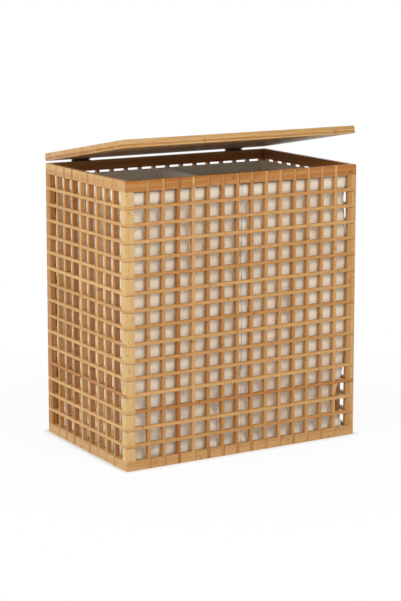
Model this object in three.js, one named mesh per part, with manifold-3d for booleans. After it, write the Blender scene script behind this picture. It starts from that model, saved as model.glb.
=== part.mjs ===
// A bamboo laundry hamper with two bins: four flush lattice walls mitred at the corners, a base board on
// cleats, two cloth bags held by hook tape, and a lid board on two butt hinges.
// Millimetres, +Z up, front towards -Y. The origin is on the floor, under the middle of the object.

import * as THREE from 'three';
import { mergeVertices } from 'three/addons/utils/BufferGeometryUtils.js';
import Module from 'manifold-3d';

const wasm = await Module();
wasm.setup();

// Driving dimensions of the body
const bodyWidth = 560;
const bodyDepth = 360;
const bodyHeight = 592;

// Walls: a frame of rails and stiles with a lattice of crossing slats, all of one thickness
const wallThickness = 10.5;
const topRailHeight = 22;
const bottomRailHeight = 20;
const stileWidth = 20;
const slatWidth = 6.5;
const rowCount = 16;
const frontColumnCount = 15;
const sideColumnCount = 9;
const mitreGap = 0.3;

// Base: a thin board on four cleats along the bottom rails
const boardThickness = 5;
const boardClearance = 0.5;
const cleatWidth = 10;
const cleatHeight = 8;
const cleatLift = 2;

// Lid: one laminated board, as large as the body, standing open by restAngle
const lidThickness = 16.5;
const lidEasing = 1;
const restAngle = 10 * Math.PI / 180;

// Hinges: narrow butt hinges, the knuckle just behind the back wall
const hingeInset = 85;
const hingeLength = 40;
const leafWidth = 9.6;
const leafThickness = 1.5;
const leafClearance = 0.6;
const knuckleRadius = 2.5;
const knuckleClearance = 0.3;
const knuckleCount = 3;
const knuckleSides = 10;
const pinRadius = 1.2;
const pinHeadRadius = 2;
const pinHeadLength = 0.8;
const pinClearance = 0.3;

// Screws that hold the leaves
const screwEndDistance = 8;
const screwLength = 12;
const screwTipLength = 3;
const screwRadius = 1.4;
const screwHeadRadius = 2.6;
const screwHeadDepth = 1.2;
const screwClearance = 0.3;
const screwSides = 8;

// Bags: cloth, each with a stiff hem held by the hook tape and a looser body below it. The insets say how far
// the cloth hangs in from the hem under the hem, at the belly, low down and at the foot.
const hemDrop = 4;
const hemHeight = 24;
const clothThickness = 2;
const hemThickness = 3.2;
const bagClearance = 0.3;
const bagMiddleGap = 3;
const middleInset = 2;
const hemCornerRadius = 9;
const bellyCornerRadius = 26;
const neckInset = 9;
const bellyInset = 3;
const waistInset = 14;
const footInset = 5;
const footRadius = 14;
const cornerSteps = 3;
const neckHeightShare = 0.82;
const bellyHeightShare = 0.5;
const waistHeightShare = 0.16;

// Hook tape: one patch behind each of these slats, counted from both ends of a wall
const tapeHeight = 18;
const tapeThickness = 1.6;
const longWallTapeColumns = [2, 6];
const shortWallTapeColumns = [2];

// Every cut runs past the face it opens by this much
const cutOverrun = 2;

const bamboo = { color: 0xc8965a, roughness: 0.5, metalness: 0 };
const bambooSlat = { color: 0xb98148, roughness: 0.52, metalness: 0 };
const bambooLid = { color: 0xd2a262, roughness: 0.45, metalness: 0 };
const plywood = { color: 0xb08a5c, roughness: 0.7, metalness: 0 };
const darkSteel = { color: 0x2a2422, roughness: 0.45, metalness: 0.8 };
const screwSteel = { color: 0x3a3533, roughness: 0.4, metalness: 0.85 };
const canvas = { color: 0xd9d0c0, roughness: 0.9, metalness: 0 };
const hookTape = { color: 0xcfc8bb, roughness: 0.95, metalness: 0 };

function mesh(name, geometry, finish) {
  const piece = new THREE.Mesh(geometry, new THREE.MeshStandardMaterial(finish));
  piece.name = name;
  return piece;
}

// A box between two corners
function block(low, high) {
  const size = high.map((value, i) => value - low[i]);
  const middle = high.map((value, i) => (value + low[i]) / 2);
  return new THREE.BoxGeometry(...size).translate(...middle);
}

function toSolid(geometry) {
  const bare = geometry.clone();
  bare.deleteAttribute('normal');
  bare.deleteAttribute('uv');
  const merged = mergeVertices(bare);
  return new wasm.Manifold(new wasm.Mesh({
    numProp: 3,
    vertProperties: new Float32Array(merged.attributes.position.array),
    triVerts: new Uint32Array(merged.index.array),
  }));
}

function toGeometry(solid) {
  const result = solid.getMesh();
  const geometry = new THREE.BufferGeometry();
  geometry.setAttribute('position', new THREE.BufferAttribute(result.vertProperties, 3));
  geometry.setIndex(new THREE.BufferAttribute(result.triVerts, 1));
  geometry.computeVertexNormals();
  return geometry;
}

function join(geometries) {
  return toGeometry(geometries.map(toSolid).reduce((whole, next) => whole.add(next)));
}

function cut(geometry, tools) {
  return toGeometry(tools.map(toSolid).reduce((whole, tool) => whole.subtract(tool), toSolid(geometry)));
}

// A bar with a mitre at one or both ends, in a wall's own frame: x along the wall, the outer face at y = 0.
// startMitre and endMitre say how far each end leans in between the outer and the inner face.
function mitredBar(start, end, startMitre, endMitre, low, high) {
  const plan = new THREE.Shape([
    new THREE.Vector2(start, 0),
    new THREE.Vector2(end, 0),
    new THREE.Vector2(end - endMitre, wallThickness),
    new THREE.Vector2(start + startMitre, wallThickness),
  ]);
  return new THREE.ExtrudeGeometry(plan, { depth: high - low, bevelEnabled: false }).translate(0, 0, low);
}

// The far edge of an upright slat, along its wall
function slatEdge(length, columnCount, column) {
  const halfSpan = length / 2 - stileWidth;
  const columnPitch = (2 * halfSpan + slatWidth) / columnCount;
  return column * columnPitch - halfSpan;
}

// The slats of one wall, crossing flush where they are halved into each other
function lattice(length, columnCount) {
  const halfSpan = length / 2 - stileWidth;
  const low = bottomRailHeight;
  const high = bodyHeight - topRailHeight;
  const rowPitch = (high - low + slatWidth) / rowCount;
  const slats = [];
  for (let column = 1; column < columnCount; column += 1) {
    const edge = slatEdge(length, columnCount, column);
    slats.push(block([edge - slatWidth, 0, low], [edge, wallThickness, high]));
  }
  for (let row = 1; row < rowCount; row += 1) {
    const top = low + row * rowPitch;
    slats.push(block([-halfSpan, 0, top - slatWidth], [halfSpan, wallThickness, top]));
  }
  return join(slats);
}

// Patches of hook tape on the inner faces of a wall's slats, as wide as a slat
function hookTapes(name, length, columnCount, tapeColumns) {
  const columns = [...tapeColumns, ...tapeColumns.map((column) => columnCount - column).reverse()];
  return columns.map((column, i) => {
    const edge = slatEdge(length, columnCount, column);
    return mesh(`${name}_hook_tape_${i + 1}`, block([edge - slatWidth, wallThickness, tapeLow],
      [edge, wallThickness + tapeThickness, tapeHigh]), hookTape);
  });
}

// One wall in its own frame, turned and moved to its side of the hamper
function wall({ name, length, columnCount, tapeColumns, railHoles, ends, turn, place }) {
  const group = new THREE.Group();
  const reach = length / 2 - mitreGap / Math.SQRT2;
  const inner = length / 2 - stileWidth;
  const railBottom = bodyHeight - topRailHeight;
  const topRail = mitredBar(-reach, reach, wallThickness, wallThickness, railBottom, bodyHeight);
  const bottomRail = mitredBar(-reach, reach, wallThickness, wallThickness, 0, bottomRailHeight);
  const startStile = mitredBar(-reach, -inner, wallThickness, 0, bottomRailHeight, railBottom);
  const endStile = mitredBar(inner, reach, 0, wallThickness, bottomRailHeight, railBottom);
  group.add(mesh(`${name}_lattice`, lattice(length, columnCount), bambooSlat));
  group.add(mesh(`${name}_top_rail`, railHoles ? cut(topRail, railHoles) : topRail, bamboo));
  group.add(mesh(`${name}_bottom_rail`, bottomRail, bamboo));
  group.add(mesh(`${name}_${ends[0]}_stile`, startStile, bamboo));
  group.add(mesh(`${name}_${ends[1]}_stile`, endStile, bamboo));
  group.add(...hookTapes(name, length, columnCount, tapeColumns));
  group.rotation.z = turn;
  group.position.set(...place);
  return group;
}

// Places along the wall, and across a leaf from the pin's axis, that the hinges and screws share
const hingePlaces = [hingeInset - bodyWidth / 2, bodyWidth / 2 - hingeInset];
const hingeNames = ['left', 'right'];
const knuckleSetback = knuckleRadius + knuckleClearance;
const leafInner = leafClearance / 2;
const leafOuter = leafInner + leafThickness;
const screwLine = -knuckleSetback - leafWidth / 2;
const screwPlaces = [screwEndDistance - hingeLength / 2, hingeLength / 2 - screwEndDistance];
const axisY = bodyDepth / 2 + knuckleSetback;
const axisZ = bodyHeight + leafOuter;

// An upright cylinder or cone with its lower end at z = low
function roundPeg(lowRadius, highRadius, low, high, sides) {
  return new THREE.CylinderGeometry(highRadius, lowRadius, high - low, sides)
    .rotateX(Math.PI / 2)
    .translate(0, 0, (high + low) / 2);
}

// Pilot holes for the frame leaves' screws, in the back wall's own frame
function pilotHoles() {
  const depth = screwLength - leafThickness + screwClearance;
  const radius = screwRadius + screwClearance;
  const holes = [];
  for (const hinge of hingePlaces) {
    for (const place of screwPlaces) {
      holes.push(roundPeg(radius, radius, bodyHeight - depth, bodyHeight + cutOverrun, screwSides)
        .translate(hinge + place, -knuckleSetback - screwLine, 0));
    }
  }
  return holes;
}

// A leaf in the hinge's own frame: the pin's axis along x through the origin, the leaf under it and towards -y.
// firstKnuckle is 0 for the leaf with the outer knuckles and 1 for the one between them.
function leaf(firstKnuckle) {
  const pitch = hingeLength / knuckleCount;
  const plateLow = -knuckleSetback - leafWidth;
  const parts = [block([-hingeLength / 2, plateLow, -leafOuter], [hingeLength / 2, -knuckleSetback, -leafInner])];
  for (let k = firstKnuckle; k < knuckleCount; k += 2) {
    const start = -hingeLength / 2 + k * pitch + (k > 0 ? knuckleClearance / 2 : 0);
    const end = -hingeLength / 2 + (k + 1) * pitch - (k < knuckleCount - 1 ? knuckleClearance / 2 : 0);
    parts.push(new THREE.CylinderGeometry(knuckleRadius, knuckleRadius, end - start, knuckleSides)
      .rotateZ(Math.PI / 2).translate((start + end) / 2, 0, 0));
    parts.push(block([start, -knuckleSetback - leafThickness, -leafOuter], [end, 0, -leafInner]));
  }
  const bore = new THREE.CylinderGeometry(pinRadius + pinClearance, pinRadius + pinClearance,
    hingeLength + 2 * cutOverrun, knuckleSides).rotateZ(Math.PI / 2);
  const seats = screwPlaces.flatMap((place) => [
    roundPeg(screwRadius + screwClearance, screwHeadRadius + screwClearance,
      -leafInner - screwHeadDepth, -leafInner, screwSides).translate(place, screwLine, 0),
    roundPeg(screwRadius + screwClearance, screwRadius + screwClearance,
      -leafOuter - cutOverrun, -leafInner + cutOverrun, screwSides).translate(place, screwLine, 0),
  ]);
  return cut(join(parts), [bore, ...seats]);
}

// A pin with a flat head at each end
function pin() {
  const half = hingeLength / 2 + pinClearance;
  const outline = [
    new THREE.Vector2(0, -half - pinHeadLength),
    new THREE.Vector2(pinHeadRadius, -half - pinHeadLength),
    new THREE.Vector2(pinHeadRadius, -half),
    new THREE.Vector2(pinRadius, -half),
    new THREE.Vector2(pinRadius, half),
    new THREE.Vector2(pinHeadRadius, half),
    new THREE.Vector2(pinHeadRadius, half + pinHeadLength),
    new THREE.Vector2(0, half + pinHeadLength),
  ];
  return new THREE.LatheGeometry(outline, knuckleSides).rotateZ(Math.PI / 2);
}

// A countersunk screw, its head flush with the leaf's inner face and its point down
function screw() {
  const outline = [
    new THREE.Vector2(0, -screwLength),
    new THREE.Vector2(screwRadius, -screwLength + screwTipLength),
    new THREE.Vector2(screwRadius, -screwHeadDepth),
    new THREE.Vector2(screwHeadRadius, 0),
    new THREE.Vector2(0, 0),
  ];
  return new THREE.LatheGeometry(outline, screwSides).rotateX(Math.PI / 2).translate(0, screwLine, -leafInner);
}

// The half of each hinge that stays on the frame, or the half that turns with the lid.
// The lid's half is the same leaf turned over, so it is built under the axis and rolled to lie above it.
function hingeHalf(side, place, onLid) {
  const group = new THREE.Group();
  const half = onLid ? 'lid' : 'frame';
  const body = new THREE.Group();
  body.add(mesh(`${side}_hinge_${half}_leaf`, leaf(onLid ? 1 : 0), darkSteel));
  screwPlaces.forEach((offset, i) => {
    const piece = mesh(`${side}_hinge_${half}_screw_${i + 1}`, screw(), screwSteel);
    piece.position.x = offset;
    body.add(piece);
  });
  if (onLid) {
    body.rotation.set(Math.PI, 0, Math.PI);
  }
  group.add(body);
  group.position.x = place;
  return group;
}

// The lid board, its edges eased, with pilot holes for its hinge screws, in the frame of the hinges' axis
function lidBoard() {
  const back = -knuckleSetback;
  const front = back - bodyDepth;
  const plan = new THREE.Shape([
    new THREE.Vector2(-bodyWidth / 2, front),
    new THREE.Vector2(bodyWidth / 2, front),
    new THREE.Vector2(bodyWidth / 2, back),
    new THREE.Vector2(-bodyWidth / 2, back),
  ]);
  const board = new THREE.ExtrudeGeometry(plan, {
    depth: lidThickness - 2 * lidEasing,
    bevelThickness: lidEasing,
    bevelSize: lidEasing,
    bevelOffset: -lidEasing,
    bevelSegments: 1,
  }).translate(0, 0, leafOuter + lidEasing);
  const depth = screwLength - leafThickness + screwClearance;
  const radius = screwRadius + screwClearance;
  const holes = hingePlaces.flatMap((hinge) => screwPlaces.map((place) => (
    roundPeg(radius, radius, leafOuter - cutOverrun, leafOuter + depth, screwSides)
      .translate(hinge + place, screwLine, 0))));
  return cut(board, holes);
}

// The outline of a bag at one height: a rectangle between two x and two y values, with round corners
function bagOutline(lowX, highX, lowY, highY, radius) {
  const corners = [[highX - radius, highY - radius], [lowX + radius, highY - radius],
    [lowX + radius, lowY + radius], [highX - radius, lowY + radius]];
  return corners.flatMap(([x, y], quarter) => Array.from({ length: cornerSteps + 1 }, (unused, step) => {
    const angle = (quarter + step / cornerSteps) * Math.PI / 2;
    return [x + radius * Math.cos(angle), y + radius * Math.sin(angle)];
  }));
}

// A closed skin over a list of rings that run from the bottom centre outside, over the rim, to the floor inside
function skinOver(rings) {
  const perRing = rings[0].length;
  const vertices = rings.flat(2);
  const faces = [];
  for (let ring = 0; ring < rings.length - 1; ring += 1) {
    for (let i = 0; i < perRing; i += 1) {
      const a = ring * perRing + i;
      const b = ring * perRing + (i + 1) % perRing;
      faces.push(a, b, b + perRing, a, b + perRing, a + perRing);
    }
  }
  const lastStart = (rings.length - 1) * perRing;
  for (let i = 1; i < perRing - 1; i += 1) {
    faces.push(0, i + 1, i);
    faces.push(lastStart, lastStart + i, lastStart + i + 1);
  }
  const geometry = new THREE.BufferGeometry();
  geometry.setAttribute('position', new THREE.Float32BufferAttribute(vertices, 3));
  geometry.setIndex(faces);
  geometry.computeVertexNormals();
  return geometry;
}

// The right-hand bag: a straight hem, a body that hangs in from the walls, and a rounded foot
function bag() {
  const height = bagRim - bagFloor;
  const footRise = footRadius * (1 - Math.SQRT1_2);
  const body = { rounding: 0, radius: bellyCornerRadius, thickness: clothThickness, lift: clothThickness };
  const hem = { inset: 0, rounding: 0, radius: hemCornerRadius, thickness: hemThickness, lift: 0 };
  const hemFoot = bagRim - hemHeight;
  const levels = [
    { ...body, z: bagFloor, inset: footInset, rounding: footRadius },
    { ...body, z: bagFloor + footRise, inset: footInset, rounding: footRise },
    { ...body, z: bagFloor + footRadius, inset: footInset },
    { ...body, z: bagFloor + height * waistHeightShare, inset: waistInset },
    { ...body, z: bagFloor + height * bellyHeightShare, inset: bellyInset },
    { ...body, z: bagFloor + height * neckHeightShare, inset: neckInset },
    { ...hem, z: hemFoot - (hemThickness - clothThickness), thickness: clothThickness },
    { ...hem, z: hemFoot },
    { ...hem, z: bagRim },
  ];
  // The side towards the other bag hangs nearly straight
  const ring = ({ z, inset, rounding, radius }, wall, lift) => {
    const outer = inset + rounding + wall;
    const towardsMiddle = Math.min(inset, middleInset) + rounding + wall;
    return bagOutline(bagInX + towardsMiddle, bagOutX - outer, outer - bagOutY, bagOutY - outer, radius - wall)
      .map(([x, y]) => [x, y, z + lift]);
  };
  const outside = levels.map((level) => ring(level, 0, 0));
  const inside = levels.map((level) => ring(level, level.thickness, level.lift));
  return skinOver([...outside, ...inside.reverse()]);
}

// The space inside the walls, the base board, and what the bags take of it
const innerX = bodyWidth / 2 - wallThickness;
const innerY = bodyDepth / 2 - wallThickness;
const boardLow = cleatLift + cleatHeight;
const boardX = innerX - boardClearance;
const boardY = innerY - boardClearance;
const bagRim = bodyHeight - topRailHeight - hemDrop;
const bagFloor = boardLow + boardThickness + bagClearance;
const bagInX = bagMiddleGap / 2;
const bagOutX = innerX - tapeThickness - bagClearance;
const bagOutY = innerY - tapeThickness - bagClearance;
const tapeHigh = bagRim - (hemHeight - tapeHeight) / 2;
const tapeLow = tapeHigh - tapeHeight;

// The knuckles stand out behind the back wall, so the body stands that much nearer the front
const hamper = new THREE.Group();
hamper.position.y = -(knuckleSetback + knuckleRadius) / 2;
const quarterTurn = Math.PI / 2;
const walls = [
  { name: 'front', length: bodyWidth, columnCount: frontColumnCount, tapeColumns: longWallTapeColumns,
    ends: ['left', 'right'], turn: 0, place: [0, -bodyDepth / 2, 0] },
  { name: 'right', length: bodyDepth, columnCount: sideColumnCount, tapeColumns: shortWallTapeColumns,
    ends: ['front', 'back'], turn: quarterTurn, place: [bodyWidth / 2, 0, 0] },
  { name: 'back', length: bodyWidth, columnCount: frontColumnCount, tapeColumns: longWallTapeColumns,
    railHoles: pilotHoles(), ends: ['right', 'left'], turn: 2 * quarterTurn, place: [0, bodyDepth / 2, 0] },
  { name: 'left', length: bodyDepth, columnCount: sideColumnCount, tapeColumns: shortWallTapeColumns,
    ends: ['back', 'front'], turn: -quarterTurn, place: [-bodyWidth / 2, 0, 0] },
];
walls.forEach((side) => hamper.add(wall(side)));

// Base board and cleats. The side cleats fit between the long ones.
hamper.add(mesh('base_board', block([-boardX, -boardY, boardLow], [boardX, boardY, boardLow + boardThickness]),
  plywood));
for (const [name, side] of [['front', -1], ['back', 1]]) {
  const near = side * (innerY - cleatWidth);
  const far = side * innerY;
  hamper.add(mesh(`${name}_cleat`, block([-innerX, Math.min(near, far), cleatLift],
    [innerX, Math.max(near, far), boardLow]), bamboo));
}
for (const [name, side] of [['left', -1], ['right', 1]]) {
  const near = side * (innerX - cleatWidth);
  const far = side * innerX;
  hamper.add(mesh(`${name}_cleat`, block([Math.min(near, far), cleatWidth - innerY, cleatLift],
    [Math.max(near, far), innerY - cleatWidth, boardLow]), bamboo));
}

// Hinge halves on the frame, and the pins
const frameHinges = new THREE.Group();
frameHinges.position.set(0, axisY, axisZ);
hingeNames.forEach((side, i) => {
  frameHinges.add(hingeHalf(side, hingePlaces[i], false));
  const hingePin = mesh(`${side}_hinge_pin`, pin(), screwSteel);
  hingePin.position.x = hingePlaces[i];
  frameHinges.add(hingePin);
});
hamper.add(frameHinges);

// Everything that turns with the lid
const lid = new THREE.Group();
lid.position.set(0, axisY, axisZ);
lid.rotation.x = -restAngle;
lid.add(mesh('lid_board', lidBoard(), bambooLid));
hingeNames.forEach((side, i) => lid.add(hingeHalf(side, hingePlaces[i], true)));
hamper.add(lid);

// The two bags. The left one is the right one turned half round.
for (const [name, turn] of [['left', 2 * quarterTurn], ['right', 0]]) {
  const piece = mesh(`${name}_bag`, bag(), canvas);
  piece.rotation.z = turn;
  hamper.add(piece);
}

export default hamper;
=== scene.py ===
# The looks of a bamboo laundry hamper with two bins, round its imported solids. Metres, front towards -Y.
import math
import random

import bpy
from mathutils import Matrix, Vector, noise


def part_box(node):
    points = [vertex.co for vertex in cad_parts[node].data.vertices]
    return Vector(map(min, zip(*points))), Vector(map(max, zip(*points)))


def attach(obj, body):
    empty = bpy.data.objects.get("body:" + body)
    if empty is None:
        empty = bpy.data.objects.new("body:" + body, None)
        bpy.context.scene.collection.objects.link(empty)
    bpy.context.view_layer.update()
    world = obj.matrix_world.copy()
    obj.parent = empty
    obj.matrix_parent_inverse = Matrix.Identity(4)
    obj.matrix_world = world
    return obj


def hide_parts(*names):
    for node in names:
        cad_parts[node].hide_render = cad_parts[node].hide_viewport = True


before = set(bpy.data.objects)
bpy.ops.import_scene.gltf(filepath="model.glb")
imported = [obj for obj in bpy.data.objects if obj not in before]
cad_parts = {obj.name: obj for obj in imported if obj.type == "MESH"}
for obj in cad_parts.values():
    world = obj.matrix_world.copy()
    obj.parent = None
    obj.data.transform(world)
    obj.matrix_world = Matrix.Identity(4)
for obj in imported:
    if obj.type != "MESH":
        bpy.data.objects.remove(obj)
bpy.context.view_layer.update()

SLACK = 1e-5  # how far apart two places may lie and still count as one
STRAIGHT = 0.99  # how much of an edge's direction has to lie along an axis
FACING = 0.9  # how much of a face's normal has to
LEVEL = 0.7  # how much of a direction may lie along z and still count as level
WELD, TINY = 1e-6, 1e-9
CRISP, ROUNDED = math.radians(35), math.radians(50)

# Sizes of the joinery
board_low, board_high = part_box("base_board")
MIDDLE_Y = (board_low.y + board_high.y) / 2
WIDTH, DEPTH, HEIGHT = 0.560, 0.360, 0.592
WALL = 0.0105
LAP = WALL / 2
TOP_RAIL, BOTTOM_RAIL, STILE = 0.022, 0.020, 0.020
SLAT = 0.0065
ROWS = 16
MITRE_GAP, MITRE_REACH = 0.0003 / math.sqrt(2), 0.9 * LAP
LAP_GAP = 0.00004
OPEN_SEAM, TIGHT_SEAM = 0.0009, 0.00006
SLAT_EASE, FRAME_EASE = 0.0004, 0.0007
CORNER_REACH = 0.0005

# Lid
LID_THICKNESS = 0.0165
LID_ANGLE = math.radians(10)
LID_EASE = 0.0012
GLUE_LINE_SHARE, CORE_SHARE = 0.17, 0.43
GLUE_LINE = 0.0006
LAYER_BLEND = 0.0003

# Hinges
LEAF_WIDTH, LEAF_LENGTH = 0.0096, 0.040
LEAF_INNER, LEAF_OUTER = 0.0003, 0.0018
LEAF_CORNER, LEAF_EASE = 0.0012, 0.00025
SETBACK = 0.0028
KNUCKLES = 3
KNUCKLE, KNUCKLE_GAP = 0.0025, 0.0003
KNUCKLE_ROLL, KNUCKLE_STEPS = math.radians(272), 18
BORE = 0.0015
PIN, PIN_HEAD = 0.0012, 0.002
PIN_DOME = ((0, PIN_HEAD / PIN), (0.0004, 1), (0.00028, 0.8), (0.00012, 0.5))  # each step's rise and taper
SCREW, SCREW_HEAD, SCREW_RIM, SCREW_EASE = 0.0014, 0.0026, 0.00234, 0.00015
SCREW_DEPTH, SCREW_LENGTH, SCREW_TIP, TIP_TAPER = 0.0012, 0.012, 0.003, 0.15
SINK_ROOM, SINK_REACH, SINK_RISE = 0.0001, 0.005, 0.001
CROSS_ARM, CROSS_HALF, CROSS_DEPTH = 0.0015, 0.00028, 0.0008
SCREW_LINE = -SETBACK - LEAF_WIDTH / 2
SCREW_PLACES = (-0.012, 0.012)
SINK_SIDES, ROUND_SIDES = 32, 24
HINGE_PLACES = {"left": -0.195, "right": 0.195}
AXIS = Vector((0, MIDDLE_Y + DEPTH / 2 + SETBACK, HEIGHT + LEAF_OUTER))
LID_TURN = Matrix.Translation(AXIS) @ Matrix.Rotation(-LID_ANGLE, 4, "X") @ Matrix.Translation(-AXIS)

# Bags
HEM, HEM_PROUD = 0.024, 0.0004
STITCH_ROW = HEM - 0.0025
CLOTH, CLOTH_STEP = 0.0012, 0.0112
OUTER_CORNER, MIDDLE_CORNER, FOOT_CORNER = 0.005, 0.001, 0.006
MIDDLE_CLEARANCE = 0.0002
# How far the cloth stands in from the hem, at each share of a bag's height, on its outer side
SIDE_HANG = {
    "left": [(0.0, 0.003), (0.09, 0.005), (0.155, 0.005), (0.30, 0.001), (0.70, 0.001), (0.82, 0.004),
             (0.93, 0.004), (0.955, 0.001), (1.0, 0.0)],
    "right": [(0.0, 0.003), (0.035, 0.003), (0.09, 0.010), (0.155, 0.016), (0.25, 0.004), (0.31, 0.001),
              (0.60, 0.001), (0.68, 0.0035), (0.78, 0.006), (0.93, 0.005), (0.955, 0.001), (1.0, 0.0)],
}
# And on its front and back, with the depth of their folds
FRONT_HANG = [(0.0, 0.001), (0.20, 0.001), (0.30, 0.0), (0.65, 0.0), (0.78, 0.001), (0.92, 0.0015),
              (0.955, 0.0005), (1.0, 0.0)]
FRONT_FOLDS = [(0.0, 0.012), (0.08, 0.024), (0.20, 0.020), (0.34, 0.004), (0.62, 0.004), (0.78, 0.012),
               (0.92, 0.014), (0.955, 0.0), (1.0, 0.0)]
FOLDS_ALONG, FOLDS_ACROSS, FOLDS_LEAN, FOLDS_UP = 44, 5, 9, 4  # how fast the folds change each way
CLOTH_FRAMES = 30
CLOTH_CAP = {"left": 0.009, "right": 0.016}
CLOTH_SEED = {"left": 3, "right": 4}
CLOTH_SETTINGS = {
    "quality": 6, "mass": 0.05, "tension_stiffness": 40, "compression_stiffness": 40, "shear_stiffness": 20,
    "bending_stiffness": 0.08, "tension_damping": 10, "compression_damping": 10, "shear_damping": 10,
    "bending_damping": 0.8, "air_damping": 2, "vertex_group_mass": "hem", "shrink_min": -0.018,
    "use_pressure": True, "uniform_pressure_force": 2.0,
}
CLOTH_WEIGHT = 0.6
SEAM_REACH = 0.012
TACK_WIDTH, TACK_REACH = 1.5 * MIDDLE_CORNER, 0.01
RUMPLE = 0.001
HEM_SLACK, LEVEL_SLACK = 1e-4, 2e-6
CLOTH_SKIN = 0.0005
PLATE, PLATE_SKIN, PLATE_GRIP = 0.03, 0.0004, 3

WALLS = [
    # name, length, columns, turn, place, side of an upright that has the open seam, names of the stiles
    ("front", WIDTH, 15, 0, (0, MIDDLE_Y - DEPTH / 2, 0), 1, ("left", "right")),
    ("right", DEPTH, 9, math.pi / 2, (WIDTH / 2, MIDDLE_Y, 0), 1, ("front", "back")),
    ("back", WIDTH, 15, math.pi, (0, MIDDLE_Y + DEPTH / 2, 0), 1, ("right", "left")),
    ("left", DEPTH, 9, -math.pi / 2, (-WIDTH / 2, MIDDLE_Y, 0), -1, ("back", "front")),
]

chance = random.Random(7)

# How deep the tone of each piece of bamboo is, from 0, pale, to 1
LEVEL_TONES = {"front": (0.3, 0.35, 0.4, 0.45, 0.5, 0.55, 0.6, 0.65, 0.8),
               "left": (0.05, 0.1, 0.15, 0.2, 0.3, 0.35, 0.4, 0.5, 0.7)}
STANDING_TONES = {"front": (0.4, 0.5, 0.55, 0.6, 0.62, 0.65, 0.7, 0.75, 0.85),
                  "left": (0.25, 0.4, 0.5, 0.6, 0.65, 0.7, 0.8, 0.9, 1.0)}
for tones in (LEVEL_TONES, STANDING_TONES):
    tones["back"], tones["right"] = tones["front"], tones["left"]
PLAIN_TONE = 0.5
# The top rails get the deepest tones, which paint the shade that the lid casts on them, most of all on the
# inner faces of the back and right ones.
FRAME_TONES = {"front_top_rail": 0.9, "front_left_stile": 0.1, "front_right_stile": 0.55,
               "left_top_rail": 0.45, "left_bottom_rail": 0.4, "left_front_stile": 0.15,
               "left_back_stile": 0.8, "back_top_rail": 0.85, "right_top_rail": 1.0}
PALE_END, PALE_SHARE, END_BLEND = 0.12, 0.8, 0.0005
# The lid's underside takes a deeper tone than its top, which paints the shade under the lid.
LID_STAVE, LID_TONE, CORE_TONE, UNDERSIDE_SHADE_TONE = 11, 0.42, 0.95, 0.75


# Modelling by hand
def edit():
    bpy.ops.object.mode_set(mode="EDIT")


def done():
    bpy.ops.object.mode_set(mode="OBJECT")


def deselect():
    if bpy.context.object and bpy.context.object.mode != "OBJECT":
        done()
    bpy.ops.object.select_all(action="DESELECT")


def take(piece):
    """Selects one piece alone and makes it the active one."""
    deselect()
    piece.select_set(True)
    bpy.context.view_layer.objects.active = piece


def discard(piece):
    take(piece)
    bpy.ops.object.delete()


def named(piece, name):
    piece.name = piece.data.name = name
    return piece


def fix_place():
    """Puts the place, turn and size of the active piece into its mesh."""
    bpy.ops.object.transform_apply(location=True, rotation=True, scale=True)


def block(name, low, high):
    """A box between two corners."""
    deselect()
    bpy.ops.mesh.primitive_cube_add(size=1, location=[(a + b) / 2 for a, b in zip(low, high)])
    piece = named(bpy.context.object, name)
    piece.scale = [b - a for a, b in zip(low, high)]
    fix_place()
    return piece


def peg(name, radius, low, high, sides):
    """An upright round bar."""
    deselect()
    bpy.ops.mesh.primitive_cylinder_add(vertices=sides, radius=radius, depth=high - low,
                                        location=(0, 0, (low + high) / 2))
    piece = named(bpy.context.object, name)
    fix_place()
    return piece


def settle(piece, matrix):
    """Moves a piece and puts its place into its mesh."""
    take(piece)
    piece.matrix_world = matrix @ piece.matrix_world
    fix_place()
    return piece


def copy_of(piece, name, matrix):
    take(piece)
    bpy.ops.object.duplicate()
    return settle(named(bpy.context.object, name), matrix)


def pick(piece, kind, test):
    """Goes into edit mode with only the faces, edges or corners that pass the test selected."""
    take(piece)
    edit()
    bpy.ops.mesh.select_mode(type={"faces": "FACE", "edges": "EDGE", "corners": "VERT"}[kind])
    bpy.ops.mesh.select_all(action="DESELECT")
    done()
    shape = piece.data
    if kind == "faces":
        tried = [(face, test(face.center, face.normal)) for face in shape.polygons]
    elif kind == "edges":
        ends = [[shape.vertices[i].co for i in edge.vertices] for edge in shape.edges]
        tried = [(edge, test((a + b) / 2, (b - a).normalized())) for edge, (a, b) in zip(shape.edges, ends)]
    else:
        tried = [(corner, test(corner.co)) for corner in shape.vertices]
    for part, chosen in tried:
        part.select = chosen
    edit()
    return any(chosen for part, chosen in tried)


def cut_across(axis, place):
    """Cuts the selected faces where a plane across one axis meets them."""
    spot, across = [0, 0, 0], [0, 0, 0]
    spot[axis], across[axis] = place, 1
    bpy.ops.mesh.bisect(plane_co=spot, plane_no=across)


def slice_at(piece, axis, places):
    """Cuts new edges round a piece where planes across one axis meet it."""
    take(piece)
    edit()
    for place in places:
        bpy.ops.mesh.select_all(action="SELECT")
        cut_across(axis, place)
    done()


def shift(piece, test, offset):
    """Moves the corners that pass the test."""
    if pick(piece, "corners", test):
        bpy.ops.transform.translate(value=offset)
    done()


def extrude(offset):
    bpy.ops.mesh.extrude_region_move(TRANSFORM_OT_translate={"value": offset})


def swell(width):
    """Extrudes the selected faces outwards, or inwards where the width is below zero."""
    bpy.ops.mesh.extrude_region_shrink_fatten(TRANSFORM_OT_shrink_fatten={"value": width})


def taper(factor, centre=(0, 0, 0)):
    bpy.ops.transform.resize(value=factor, center_override=centre)


def raise_faces(piece, test, offset, factor=None):
    """Extrudes the faces that pass the test, and scales the new ends if a factor is given."""
    if pick(piece, "faces", test):
        extrude(offset)
        if factor:
            taper(factor)
    done()


def ease(piece, width, segments, test):
    """Rounds the edges that pass the test."""
    if pick(piece, "edges", test):
        bpy.ops.mesh.bevel(offset=width, offset_type="OFFSET", segments=segments, affect="EDGES",
                           clamp_overlap=True)
    done()


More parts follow.
